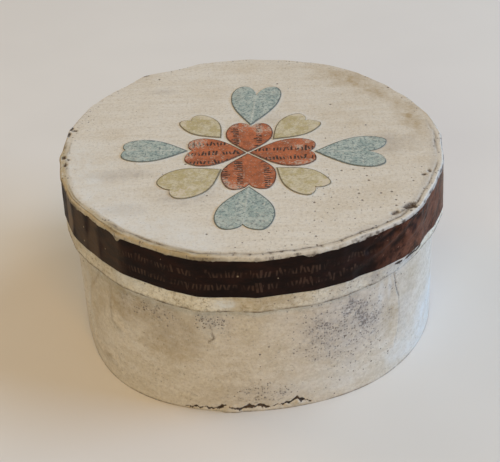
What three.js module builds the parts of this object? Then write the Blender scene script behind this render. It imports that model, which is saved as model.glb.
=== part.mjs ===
// A round, hand-made pasteboard box covered with painted paper, with its lid on.
// The lid carries a band of dark paper round its rim and a rosette of cut-out paper hearts.
// Millimetres, +Z up. The origin is the middle of the underside, on the table, and -Y faces the viewer.
import * as THREE from "three";

// Heights above the table
const BOX_HEIGHT = 60;
const RIM_BOTTOM = 40.8;
const BAND_BOTTOM = 46.3;
const BAND_TOP = 59;
const BAND_MIDDLE = 50;

// Thicknesses of the pasteboard and of the papers
const WALL_BOARD = 1.4;
const RIM_BOARD = 1.4;
const DISC_BOARD = 1.5;
const BAND_PAPER = 0.3;
const HEART_PAPER = 0.25;

// Outside radii, before the bumps of hand work
const LID_RADIUS = 60.1;
const FOOT_RADIUS = 58.6;

// Room between neighbours: lid over wall, paste under the band, bottom disc inside the wall
const LID_PLAY = 0.3;
const PASTE_GAP = 0.1;
const BOTTOM_GAP = 0.3;

// The worn upper edge of the lid
const EDGE_EASING = 0.6;

// Steps round the box. One step is 4 degrees, and every crease lies on a step.
const STEPS = 90;

// Angles, in degrees from +X towards +Y, where the hoops were creased when they were bent
const CREASES = [
  -166, -154, -146, -138, -130, -114, -106, -90, -74, -66, -54, -46, -38, -26, -14, 2, 14, 26, 38, 50, 62, 78,
  90, 106, 126, 138, 150, 166, 182,
];

// Places where a hoop leaves its circle: where, how far round on either side, and how far outwards
const SHARED_DENTS = [
  { at: 34, wide: 26, out: -0.9 },
  { at: 82, wide: 16, out: -0.6 },
  { at: -178, wide: 30, out: -0.5 },
  { at: -141, wide: 18, out: -0.8 },
];
const LID_SWELLS = [
  { at: 125, wide: 11, out: 1.7 },
  { at: 150, wide: 26, out: 0.5 },
  { at: -104, wide: 10, out: 0.6 },
];
const FOOT_SWELLS = [
  { at: -170, wide: 36, out: -0.7 },
  { at: -133, wide: 34, out: 2.0 },
  { at: -80, wide: 34, out: -1.3 },
  { at: -26, wide: 36, out: 0.6 },
];

// The lid's swollen front right corner, as far down as the band
const CORNER_SWELL = { at: -43, wide: 17, out: 1.7 };

// How far the band's lower edge hangs down at the right, where its ends lap
const BAND_SAG = { at: -16, wide: 28, out: 3.0 };

// Where the foot of the lid's rim stands out: all round the front left, and at the right
const RIM_FLARES = [
  { at: -125, wide: 120, out: 0.8 },
  { at: -12, wide: 24, out: 1.2 },
];

// Heights between which the wall's outline goes over from the foot to the lid
const WALL_LEVELS = [0, 9, 20, 31, RIM_BOTTOM];

// The rosette's middle on the lid
const ROSETTE = { x: -1.2, y: -4.8 };

const PAPERS = {
  cream: { color: "#cfc4b0", roughness: 0.85 },
  board: { color: "#a08a6c", roughness: 0.9 },
  band: { color: "#2b1714", roughness: 0.45 },
  orange: { color: "#a85c3c", roughness: 0.75 },
  blue: { color: "#93a5a6", roughness: 0.8 },
  yellow: { color: "#b9ad84", roughness: 0.8 },
};

// The hearts, each cut by eye. tip is its point, from the rosette's middle, and turn is the way it points
// away from that, in degrees. notch is how far out the cleft lies. Each side has its greatest width, how
// far out that is, and the top of its lobe: how far to the side and how far out.
const HEARTS = [
  {
    name: "heart_orange_back", paper: "orange", tip: [0.35, 0.1], turn: 84.7, notch: 15.3,
    left: { wide: 7.9, wideAt: 10.9, lobe: 3.9, reach: 18 },
    right: { wide: 7.2, wideAt: 11.1, lobe: 3.4, reach: 18 },
  },
  {
    name: "heart_orange_front", paper: "orange", tip: [0.3, -0.8], turn: -90.2, notch: 17.7,
    left: { wide: 8.4, wideAt: 12.2, lobe: 4.8, reach: 20.7 },
    right: { wide: 8.5, wideAt: 12, lobe: 4.5, reach: 20.6 },
  },
  {
    name: "heart_orange_left", paper: "orange", tip: [-0.15, -0.35], turn: 171.2, notch: 16.9,
    left: { wide: 9, wideAt: 13.1, lobe: 4.9, reach: 18.8 },
    right: { wide: 7.7, wideAt: 13.9, lobe: 3.9, reach: 19.1 },
  },
  {
    name: "heart_orange_right", paper: "orange", tip: [0.85, -0.35], turn: -1.4, notch: 18.7,
    left: { wide: 7.9, wideAt: 14.4, lobe: 4.2, reach: 20.8 },
    right: { wide: 8.6, wideAt: 13.8, lobe: 4.2, reach: 20.7 },
  },
  {
    name: "heart_blue_back", paper: "blue", tip: [1.6, 16.8], turn: 83, notch: 20.1,
    left: { wide: 8.4, wideAt: 19.3, lobe: 4.7, reach: 26.3 },
    right: { wide: 8.4, wideAt: 20.9, lobe: 5.5, reach: 26.5 },
  },
  {
    name: "heart_blue_front", paper: "blue", tip: [0.2, -19.9], turn: -96.6, notch: 19.8,
    left: { wide: 8.9, wideAt: 14.3, lobe: 5.2, reach: 22.4 },
    right: { wide: 8.7, wideAt: 15.8, lobe: 4.7, reach: 22.6 },
  },
  {
    name: "heart_blue_left", paper: "blue", tip: [-18.5, 2.3], turn: 174.3, notch: 19.8,
    left: { wide: 6.9, wideAt: 14, lobe: 3.2, reach: 20.8 },
    right: { wide: 6.4, wideAt: 14.2, lobe: 2.6, reach: 20.9 },
  },
  {
    name: "heart_blue_right", paper: "blue", tip: [21.1, -1.3], turn: -4.6, notch: 16.5,
    left: { wide: 9.2, wideAt: 16.5, lobe: 6.6, reach: 22.5 },
    right: { wide: 9.1, wideAt: 16.7, lobe: 5.9, reach: 21.9 },
  },
  {
    name: "heart_yellow_back_left", paper: "yellow", tip: [-7.9, 9.5], turn: 129.6, notch: 15.1,
    left: { wide: 5.4, wideAt: 10.6, lobe: 2.9, reach: 17.3 },
    right: { wide: 6.2, wideAt: 10.6, lobe: 3.1, reach: 16.9 },
  },
  {
    name: "heart_yellow_back_right", paper: "yellow", tip: [8.4, 7.2], turn: 45.5, notch: 15.7,
    left: { wide: 6.4, wideAt: 12.9, lobe: 3.6, reach: 18.1 },
    right: { wide: 6.4, wideAt: 12.5, lobe: 4.6, reach: 17.9 },
  },
  {
    name: "heart_yellow_front_left", paper: "yellow", tip: [-7.9, -9.5], turn: -146, notch: 18.8,
    left: { wide: 7.7, wideAt: 13, lobe: 3.6, reach: 20.2 },
    right: { wide: 8.6, wideAt: 13.2, lobe: 4.6, reach: 20.2 },
  },
  {
    name: "heart_yellow_front_right", paper: "yellow", tip: [8.8, -9.8], turn: -47, notch: 16.1,
    left: { wide: 6.9, wideAt: 11.2, lobe: 4.2, reach: 18.4 },
    right: { wide: 6.2, wideAt: 12.6, lobe: 3.6, reach: 18.2 },
  },
];
const HEART_CURVE_STEPS = 5;

// Handles of a heart's curves, as shares of the lengths they follow: a quarter round, the straight run out of
// the point, the swell towards the widest place, and the dip into the cleft
const ROUND = 0.55;
const POINT_RUN = { along: 0.3, aside: 0.44 };
const SWELL_RUN = 0.6;
const CLEFT_DIP = 0.15;

// How far round it is from one angle to another, at most half a turn
function degreesApart(one, other) {
  const turned = Math.abs(one - other) % 360;
  return Math.min(turned, 360 - turned);
}

// One swell's height at an angle: a smooth hump that ends at its half width
function swellAt({ at, wide, out }, angle) {
  const away = Math.min(degreesApart(angle, at) / wide, 1);
  return out * (0.5 + 0.5 * Math.cos(Math.PI * away));
}

function swellsAt(swells, angle) {
  return swells.reduce((sum, swell) => sum + swellAt(swell, angle), 0);
}

// The share of its radius that a hoop keeps at an angle, where it runs straight from crease to crease
function creasedShare(angle) {
  const first = CREASES[0];
  const turned = first + ((((angle - first) % 360) + 360) % 360);
  const next = CREASES.findIndex((crease) => crease > turned);
  const ends = next < 0 ? [CREASES.at(-1), first + 360] : [CREASES[next - 1], CREASES[next]];
  const half = THREE.MathUtils.degToRad((ends[1] - ends[0]) / 2);
  const fromMiddle = THREE.MathUtils.degToRad(turned - (ends[0] + ends[1]) / 2);
  return Math.cos(half) / Math.cos(fromMiddle);
}

// The outside of the lid's boards
function lidRadius(angle, height) {
  const low = (BOX_HEIGHT - height) / (BOX_HEIGHT - RIM_BOTTOM);
  const corner = THREE.MathUtils.clamp((height - RIM_BOTTOM) / (BAND_BOTTOM - RIM_BOTTOM), 0, 1);
  const round = (LID_RADIUS + swellsAt(SHARED_DENTS, angle)) * creasedShare(angle);
  const flare = swellsAt(RIM_FLARES, angle) * low;
  return round + flare + swellsAt(LID_SWELLS, angle) + swellAt(CORNER_SWELL, angle) * corner;
}

// The outside of the wall. It fits inside the lid above and keeps its own shape at the foot.
function wallRadius(angle, height) {
  const inLid = (LID_RADIUS + swellsAt(SHARED_DENTS, angle)) * creasedShare(angle) - RIM_BOARD - LID_PLAY;
  const foot = FOOT_RADIUS + swellsAt(FOOT_SWELLS, angle);
  return THREE.MathUtils.lerp(foot, inLid, THREE.MathUtils.smoothstep(height, 0, RIM_BOTTOM));
}

// A solid turned round Z through a profile of levels, each a height and the radius at an angle there. A level
// with no radius lies on the axis, and one with a sag hangs lower by it. Hoops close on their first level.
function turnedSolid(levels, isHoop) {
  const profile = levels.map(({ radius, height }) => new THREE.Vector2(radius ? 1 : 0, height));
  const closing = isHoop ? [profile[0].clone()] : [];
  const solid = new THREE.LatheGeometry([...profile, ...closing], STEPS);
  solid.rotateX(Math.PI / 2);
  const corners = solid.getAttribute("position");
  const levelsRound = profile.length + closing.length;
  for (let i = 0; i < corners.count; i += 1) {
    const level = levels[(i % levelsRound) % levels.length];
    if (!level.radius) continue;
    const step = Math.floor(i / levelsRound) % STEPS;
    const angle = -90 + (360 * step) / STEPS;
    const turn = THREE.MathUtils.degToRad(angle);
    const height = level.height - (level.sag ? swellAt(level.sag, angle) : 0);
    const reach = level.radius(angle, height);
    corners.setXYZ(i, reach * Math.cos(turn), reach * Math.sin(turn), height);
  }
  return solid;
}

// A radius function moved in or out by a fixed amount
function offset(radius, out) {
  return (angle, height) => radius(angle, height) + out;
}

// A hoop of even thickness that follows an outside radius function through the heights given, lowest first.
// Its lower edge hangs down by the sag, if there is one.
function hoop(outside, thickness, heights, sag) {
  const levels = heights.map((height, i) => ({ height, sag: i === 0 ? sag : undefined }));
  const up = levels.map((level) => ({ ...level, radius: outside }));
  const down = levels.toReversed().map((level) => ({ ...level, radius: offset(outside, -thickness) }));
  return turnedSolid([...up, ...down], true);
}

// A flat disc from a lower to an upper height, its upper edge eased off where the easing isn't zero
function disc(outside, bottom, top, easing) {
  const eased = { height: top, radius: offset(outside, -easing) };
  const edge = easing ? [{ height: top - easing, radius: outside }, eased] : [eased];
  const base = [{ height: bottom }, { height: bottom, radius: outside }];
  return turnedSolid([...base, ...edge, { height: top }], false);
}

// One half of a heart's outline: a side runs from the point to its widest place and over its lobe to the
// cleft. across is 1 on the left, seen from the point, and -1 on the right.
function heartSide({ wide, wideAt, lobe, reach }, notch, across) {
  const lerp = THREE.MathUtils.lerp;
  const place = (along, aside) => new THREE.Vector2(along, across * aside);
  const tip = place(0, 0);
  const widest = place(wideAt, wide);
  const top = place(reach, lobe);
  const cleft = place(notch, 0);
  const curves = [
    new THREE.CubicBezierCurve(
      tip,
      place(POINT_RUN.along * wideAt, POINT_RUN.aside * wide),
      place(SWELL_RUN * wideAt, wide),
      widest,
    ),
    new THREE.CubicBezierCurve(
      widest,
      place(lerp(wideAt, reach, ROUND), wide),
      place(reach, lerp(lobe, wide, ROUND)),
      top,
    ),
    new THREE.CubicBezierCurve(
      top,
      place(reach, lobe * (1 - ROUND)),
      place(lerp(notch, reach, ROUND), CLEFT_DIP * lobe),
      cleft,
    ),
  ];
  return curves.flatMap((curve) => curve.getPoints(HEART_CURVE_STEPS).slice(0, -1));
}

// A paper heart that lies flat, its point at the origin and its lobes towards +X
function heart({ notch, left, right }) {
  const up = heartSide(left, notch, 1);
  const down = heartSide(right, notch, -1).slice(1).toReversed();
  const outline = [...up, new THREE.Vector2(notch, 0), ...down].toReversed();
  return new THREE.ExtrudeGeometry(new THREE.Shape(outline), { depth: HEART_PAPER, bevelEnabled: false });
}

function addPiece(group, name, paper, geometry) {
  const piece = new THREE.Mesh(geometry, new THREE.MeshStandardMaterial({ ...PAPERS[paper], metalness: 0 }));
  piece.name = name;
  group.add(piece);
  return piece;
}

function makeBox() {
  const box = new THREE.Group();
  const underLid = BOX_HEIGHT - DISC_BOARD;
  addPiece(box, "box_wall", "cream", hoop(wallRadius, WALL_BOARD, [...WALL_LEVELS, underLid]));
  const insideWall = offset(wallRadius, -WALL_BOARD - BOTTOM_GAP);
  addPiece(box, "box_bottom", "board", disc(insideWall, 0, DISC_BOARD, 0));
  return box;
}

function makeLid() {
  const lid = new THREE.Group();
  const underLid = BOX_HEIGHT - DISC_BOARD;
  const rimLevels = [RIM_BOTTOM, BAND_BOTTOM, BAND_MIDDLE, underLid];
  addPiece(lid, "lid_rim", "cream", hoop(lidRadius, RIM_BOARD, rimLevels));
  addPiece(lid, "lid_top", "cream", disc(lidRadius, underLid, BOX_HEIGHT, EDGE_EASING));
  const bandRadius = offset(lidRadius, PASTE_GAP + BAND_PAPER);
  const bandLevels = [BAND_BOTTOM, BAND_MIDDLE, underLid, BAND_TOP];
  addPiece(lid, "lid_band", "band", hoop(bandRadius, BAND_PAPER, bandLevels, BAND_SAG));
  return lid;
}

function makeRosette() {
  const rosette = new THREE.Group();
  rosette.position.set(ROSETTE.x, ROSETTE.y, BOX_HEIGHT);
  for (const shape of HEARTS) {
    const piece = addPiece(rosette, shape.name, shape.paper, heart(shape));
    piece.position.set(shape.tip[0], shape.tip[1], 0);
    piece.rotation.z = THREE.MathUtils.degToRad(shape.turn);
  }
  return rosette;
}

const wallpaperedBox = new THREE.Group();
wallpaperedBox.add(makeBox(), makeLid(), makeRosette());

export default wallpaperedBox;
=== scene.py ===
import itertools
import math
from collections import namedtuple

import bpy
import numpy as np
from mathutils import Matrix, Vector
from mathutils.bvhtree import BVHTree


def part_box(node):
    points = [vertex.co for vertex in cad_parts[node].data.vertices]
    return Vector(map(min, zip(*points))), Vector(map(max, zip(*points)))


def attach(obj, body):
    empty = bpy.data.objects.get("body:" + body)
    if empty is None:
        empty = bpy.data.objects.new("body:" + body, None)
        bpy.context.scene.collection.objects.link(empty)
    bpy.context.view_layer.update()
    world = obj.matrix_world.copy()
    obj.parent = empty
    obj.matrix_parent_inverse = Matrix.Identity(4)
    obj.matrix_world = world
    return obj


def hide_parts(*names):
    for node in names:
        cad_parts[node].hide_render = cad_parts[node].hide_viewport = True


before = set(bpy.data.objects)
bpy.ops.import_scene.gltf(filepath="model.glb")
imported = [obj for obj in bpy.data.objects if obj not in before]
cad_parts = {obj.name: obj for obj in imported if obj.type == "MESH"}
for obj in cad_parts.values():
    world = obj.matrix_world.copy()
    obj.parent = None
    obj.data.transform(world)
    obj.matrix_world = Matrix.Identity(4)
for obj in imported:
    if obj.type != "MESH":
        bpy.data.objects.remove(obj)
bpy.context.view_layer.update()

# Lengths are millimetres and angles are degrees from +X towards +Y, as in the part, until a mesh is made
MM = 0.001
STEPS_ROUND = 960
ANGLES = np.arange(STEPS_ROUND) * 360 / STEPS_ROUND - 180
FRONT = -90
MEAN_RADIUS = 60

# A shift that keeps the noise textures clear of the planes where all their waves cross at once
OFF_THE_LATTICE = (31.37, 17.61, 23.43)

LATTICE_SIZE = 32
LATTICE = np.random.default_rng(11).uniform(-1, 1, (LATTICE_SIZE,) * 3)

# A mark on a surface: its middle, its half sizes and how strong it is
Mark = namedtuple("Mark", "at half strength")


# Fields over a surface

def cloud(points, size):
    """Smooth noise from -1 to 1 at points in millimetres, with lumps about size across."""
    scaled = np.asarray(points, float) / size
    whole = np.floor(scaled).astype(int)
    part = scaled - whole
    eased = part * part * (3 - 2 * part)
    total = np.zeros(scaled.shape[:-1])
    for corner in itertools.product((0, 1), repeat=3):
        cell = (whole + corner) % LATTICE_SIZE
        share = np.where(corner, eased, 1 - eased).prod(axis=-1)
        total += share * LATTICE[cell[..., 0], cell[..., 1], cell[..., 2]]
    return total


def round_cloud(size, shift=0.0):
    """Smooth noise along the hoop, one value for each angle."""
    return cloud(np.stack([round_mm(ANGLES), 0 * ANGLES + shift, 0 * ANGLES], axis=-1), size)


def smooth_share(value, start, end):
    """0 before start, 1 after end, and a smooth step between."""
    part = np.clip((value - start) / (end - start), 0, 1)
    return part * part * (3 - 2 * part)


def hump(distance, half_width):
    """A smooth hump of height 1 that is about half_width wide to either side."""
    return np.exp(-(distance / half_width) ** 2)


def turned_from(angles, middle):
    """Signed degrees from middle to each angle, at most half a turn."""
    return (angles - middle + 180) % 360 - 180


def around(angles, middle, half, fade):
    """1 within half degrees of a middle angle, fading to 0."""
    return 1 - smooth_share(np.abs(turned_from(angles, middle)), half, half + fade)


def patches(across, up, marks, soft, wobble):
    """Oval marks as one field. soft is the share of its size over which a mark fades."""
    total = np.zeros(np.broadcast(across, up).shape)
    for mark in marks:
        away = np.hypot((across - mark.at[0]) / mark.half[0], (up - mark.at[1]) / mark.half[1])
        inside = 1 - smooth_share(away + wobble, 1 - soft, 1 + soft)
        total = np.maximum(total, mark.strength * inside)
    return total


def distance_to_path(across, up, path):
    """How far each place is from a path of straight runs."""
    nearest = np.full(np.broadcast(across, up).shape, np.inf)
    for (x0, y0), (x1, y1) in zip(path[:-1], path[1:]):
        run = (x1 - x0) ** 2 + (y1 - y0) ** 2
        along = np.clip(((across - x0) * (x1 - x0) + (up - y0) * (y1 - y0)) / run, 0, 1)
        gone = np.hypot(across - x0 - along * (x1 - x0), up - y0 - along * (y1 - y0))
        nearest = np.minimum(nearest, gone)
    return nearest


def round_mm(angle):
    """The length along the hoop from the front to an angle."""
    return np.radians(turned_from(np.asarray(angle, float), FRONT)) * MEAN_RADIUS


def on_hoop(path):
    """A path of angles and heights as lengths along the hoop and heights."""
    return [(float(round_mm(angle)), height) for angle, height in path]


def hoop_patches(up, marks, soft, wobble):
    """Oval marks placed by angle and height, as one field over a hoop."""
    placed = [Mark((float(round_mm(m.at[0])), m.at[1]), m.half, m.strength) for m in marks]
    return patches(round_mm(ANGLES)[None, :], up, placed, soft, wobble)


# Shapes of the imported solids

# A ray towards a solid's side starts this far out, in metres
RAY_START = 0.2

# A solid is read this many millimetres within its ends, where a ray still meets its side
WITHIN_ENDS = 0.02

# The thickness of the wall's and the rim's board
BOARD = 1.4


def outside_radii(node, heights):
    """How far a solid's outside is from the axis, one row for each height and one column for each angle."""
    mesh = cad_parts[node].data
    solid = BVHTree.FromPolygons([v.co for v in mesh.vertices], [p.vertices for p in mesh.polygons])
    radii = np.zeros((len(heights), STEPS_ROUND))
    for column, angle in enumerate(np.radians(ANGLES)):
        outwards = Vector((math.cos(angle), math.sin(angle), 0))
        for row, height in enumerate(heights):
            hit = solid.ray_cast(outwards * RAY_START + Vector((0, 0, height * MM)), -outwards)[0]
            radii[row, column] = hit.xy.length / MM
    return radii


def softened(rows, steps):
    """Rows of values round the box, each averaged over that many steps to either side."""
    return sum(np.roll(rows, shift, axis=-1) for shift in range(-steps, steps + 1)) / (2 * steps + 1)


def at_heights(rows, known, wanted):
    """Rows that are known at some heights, read at other heights."""
    places = np.interp(wanted, known, np.arange(len(known)))
    low = np.minimum(places.astype(int), len(known) - 2)
    share = (places - low)[:, None]
    return rows[low] * (1 - share) + rows[low + 1] * share


def inside_rings(node, known, rows, picked):
    """Rings of a board hoop's inside, which follows its outside at the picked levels."""
    heights = known[picked]
    heights[[0, -1]] = heights_of(node)
    return ring_points(rows[picked] - BOARD, heights[:, None])


def lower_edge(node):
    """The height of a solid's lower edge at every angle."""
    corners = np.array([v.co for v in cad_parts[node].data.vertices]) / MM
    angle = np.round(np.degrees(np.arctan2(corners[:, 1], corners[:, 0])), 3)
    places = np.unique(angle)
    lowest = [corners[angle == place, 2].min() for place in places]
    return np.interp(ANGLES, places, lowest, period=360)


def heights_of(node):
    return [corner.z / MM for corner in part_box(node)]


# Making meshes

# Edges that bend by more than this stay sharp
SHARP_BEND = 50


def ring_points(radii, heights):
    """Points in millimetres from radii and heights, which may be a number, a row or a column."""
    turn = np.radians(ANGLES)
    radii, heights, _ = np.broadcast_arrays(radii, heights, np.ones((1, STEPS_ROUND)))
    return np.stack([radii * np.cos(turn), radii * np.sin(turn), heights], axis=-1)


def loop_faces(ring_count, around_count, joined=False):
    """Quads between rings of points, lowest outside ring first. Joined rings close on the first."""
    ring = np.arange(ring_count if joined else ring_count - 1)[:, None]
    above = (ring + 1) % ring_count
    step = np.arange(around_count)[None, :]
    beside = (step + 1) % around_count
    corners = [ring * around_count + step, ring * around_count + beside]
    corners += [above * around_count + beside, above * around_count + step]
    return np.stack(corners, axis=-1).reshape(-1, 4).tolist()


def cap_faces(ring, around_count, middle, upwards):
    """Triangles between one ring of points and a middle point."""
    start = ring * around_count
    pairs = [(start + step, start + (step + 1) % around_count) for step in range(around_count)]
    return [(middle, a, b) if upwards else (middle, b, a) for a, b in pairs]


def add_object(name, data):
    added = bpy.data.objects.new(name, data)
    bpy.context.scene.collection.objects.link(added)
    return added


def make_piece(name, points, faces, fields, material, node):
    """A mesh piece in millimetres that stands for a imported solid, with its fields as point attributes."""
    mesh = bpy.data.meshes.new(name)
    mesh.from_pydata((points * MM).tolist(), [], faces)
    for label, values in fields.items():
        attribute = mesh.attributes.new(label, "FLOAT", "POINT")
        attribute.data.foreach_set("value", np.asarray(values, np.float32).ravel())
    mesh.shade_smooth()
    mesh.set_sharp_from_angle(angle=math.radians(SHARP_BEND))
    mesh.materials.append(material)
    piece = add_object(name, mesh)
    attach(piece, "root")
    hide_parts(node)


def make_hoop(name, outer, inner, fields, material, node):
    """A hoop from rings of outside points and rings of inside points, both lowest first."""
    rings = np.concatenate([outer, inner[::-1]])
    whole = {}
    for label, values in fields.items():
        outside = np.broadcast_to(values, outer.shape[:2])
        whole[label] = np.concatenate([outside, np.zeros(inner.shape[:2])])
    faces = loop_faces(len(rings), STEPS_ROUND, joined=True)
    make_piece(name, rings.reshape(-1, 3), faces, whole, material, node)


# Materials

def linear(code):
    """A colour as Blender mixes it, from a code such as #c8bda8."""
    parts = [int(code[i:i + 2], 16) / 255 for i in (1, 3, 5)]
    return [p / 12.92 if p <= 0.04045 else ((p + 0.055) / 1.055) ** 2.4 for p in parts] + [1]


class Look:
    """A material under construction. Each method adds one step and returns the socket with its result."""

    def __init__(self, name):
        self.material = bpy.data.materials.new(name)
        self.material.use_nodes = True
        self.tree = self.material.node_tree
        self.shader = self.tree.nodes["Principled BSDF"]
        coordinates = self.tree.nodes.new("ShaderNodeTexCoord").outputs["Object"]
        self.place = self.vector("SCALE", coordinates, 1 / MM)

    def set(self, node, inputs):
        for key, value in inputs.items():
            if isinstance(value, bpy.types.NodeSocket):
                self.tree.links.new(value, node.inputs[key])
            else:
                node.inputs[key].default_value = value

    def node(self, kind, inputs, **settings):
        node = self.tree.nodes.new(kind)
        for key, value in settings.items():
            setattr(node, key, value)
        self.set(node, inputs)
        return node

    def vector(self, operation, first, second):
        key = "Scale" if operation == "SCALE" else 1
        return self.node("ShaderNodeVectorMath", {0: first, key: second}, operation=operation).outputs[0]

    def math(self, operation, first, second=0.0, third=0.0):
        inputs = {0: first, 1: second, 2: third}
        return self.node("ShaderNodeMath", inputs, operation=operation).outputs[0]

    def times(self, first, *others):
        for other in others:
            first = self.math("MULTIPLY", first, other)
        return first

    def parts(self, vector):
        return self.node("ShaderNodeSeparateXYZ", {0: vector}).outputs[:3]

    def joined(self, x, y, z=0.0):
        return self.node("ShaderNodeCombineXYZ", {0: x, 1: y, 2: z}).outputs[0]

    def hoop_place(self):
        """Millimetres along the hoop from the front, and up."""
        x, y, z = self.parts(self.place)
        turn = self.math("ARCTAN2", x, self.math("MULTIPLY", y, -1.0))
        return self.joined(self.math("MULTIPLY", turn, float(MEAN_RADIUS)), z)

    def turned(self, place, degrees):
        """A place turned round Z, so that its X runs at that angle."""
        inputs = {"Vector": place, "Angle": -math.radians(degrees)}
        return self.node("ShaderNodeVectorRotate", inputs, rotation_type="Z_AXIS").outputs[0]

    def noise(self, size, place=None, stretch=(1, 1, 1), detail=3, rough=0.55):
        """Cloudy noise from 0 to 1 with lumps about size millimetres across, longer where stretched."""
        scaled = self.vector("DIVIDE", place or self.place, tuple(size * s for s in stretch))
        shifted = self.vector("ADD", scaled, OFF_THE_LATTICE)
        inputs = {"Vector": shifted, "Scale": 1.0, "Detail": detail, "Roughness": rough}
        return self.node("ShaderNodeTexNoise", inputs).outputs[0]

    def between(self, value, start, end, low=0.0, high=1.0):
        """A smooth step from low to high as the value goes from start to end."""
        inputs = {"Value": value, "From Min": start, "From Max": end, "To Min": low, "To Max": high}
        return self.node("ShaderNodeMapRange", inputs, interpolation_type="SMOOTHSTEP").outputs[0]

    def field(self, name):
        return self.node("ShaderNodeAttribute", {}, attribute_name=name).outputs["Fac"]

    def mix(self, share, first, second):
        inputs = {0: share}
        for key, value in ((6, first), (7, second)):
            inputs[key] = linear(value) if isinstance(value, str) else value
        return self.node("ShaderNodeMix", inputs, data_type="RGBA").outputs[2]

    def dots(self, spacing, radius, share, place=None):
        """Round specks over a plane, a share of them present, on a grid of random places."""
        scaled = self.vector("SCALE", place or self.place, 1 / spacing)
        cells = self.node("ShaderNodeTexVoronoi", {"Vector": scaled, "Scale": 1.0}, voronoi_dimensions="2D")
        red, green, _ = self.parts(cells.outputs["Color"])
        size = self.between(green, 0.0, 1.0, 0.35 * radius / spacing, radius / spacing)
        inside = self.between(self.math("DIVIDE", cells.outputs["Distance"], size), 1.25, 0.75)
        return self.times(inside, self.math("LESS_THAN", red, share))

    def bump(self, height, depth):
        """A normal from a height of 0 to 1 that is depth millimetres at most."""
        inputs = {"Height": height, "Distance": depth * MM, "Strength": 1.0}
        return self.node("ShaderNodeBump", inputs).outputs[0]

    def finish(self, color, roughness, normal, specular=0.5):
        self.shader.inputs["Specular IOR Level"].default_value = specular
        self.set(self.shader, {"Base Color": color, "Roughness": roughness, "Normal": normal})
        return self.material


# Rows of print: millimetres from stroke to stroke, strokes from gap to gap, and how far each row is shifted
STROKE_PITCH = 1.1
WORD_STROKES = 6.3
ROW_SHIFT = 17.3


def stroke_row(look, along, rise, seed):
    """A row of short leaning strokes, as worn print looks from afar, that form no letters. rise goes from
    -1 to 1 over the height of a small stroke."""
    places = look.math("MULTIPLY_ADD", along, 1 / STROKE_PITCH, ROW_SHIFT * seed)
    cell = look.math("FLOOR", places)
    chance = look.node("ShaderNodeTexWhiteNoise", {"Vector": look.joined(cell, float(seed))},
                       noise_dimensions="3D").outputs["Color"]
    red, green, blue = look.parts(chance)
    lean = look.between(blue, 0.0, 1.0, -0.28, 0.28)
    middle = look.math("MULTIPLY_ADD", lean, rise, look.between(red, 0.0, 1.0, 0.4, 0.6))
    off = look.math("ABSOLUTE", look.math("SUBTRACT", look.math("FRACT", places), middle))
    thick = look.between(green, 0.0, 1.0, 0.22, 0.34)
    stroke = look.between(look.math("SUBTRACT", off, thick), 0.06, -0.06)
    head = look.between(green, 0.72, 0.76, 0.9, 1.7)
    foot = look.between(red, 0.82, 0.86, -0.9, -1.6)
    below_head = look.between(look.math("SUBTRACT", rise, head), 0.15, -0.15)
    above_foot = look.between(look.math("SUBTRACT", rise, foot), -0.15, 0.15)
    words = look.math("MULTIPLY_ADD", along, 1 / (WORD_STROKES * STROKE_PITCH), 0.37 * seed)
    word = look.math("FRACT", words)
    in_word = look.between(word, 0.1, 0.15)
    return look.times(stroke, below_head, above_foot, in_word)


# What each field of stain, painted shade or painted light does to the cream: the field, its most and its
# tint
CREAM_STAINS = [("tan", 0.85, "#9d8760"), ("rolled", 0.8, "#ad9a70"), ("grey", 0.7, "#96908c"),
                ("pale", 0.9, "#d6d9da")]


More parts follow.
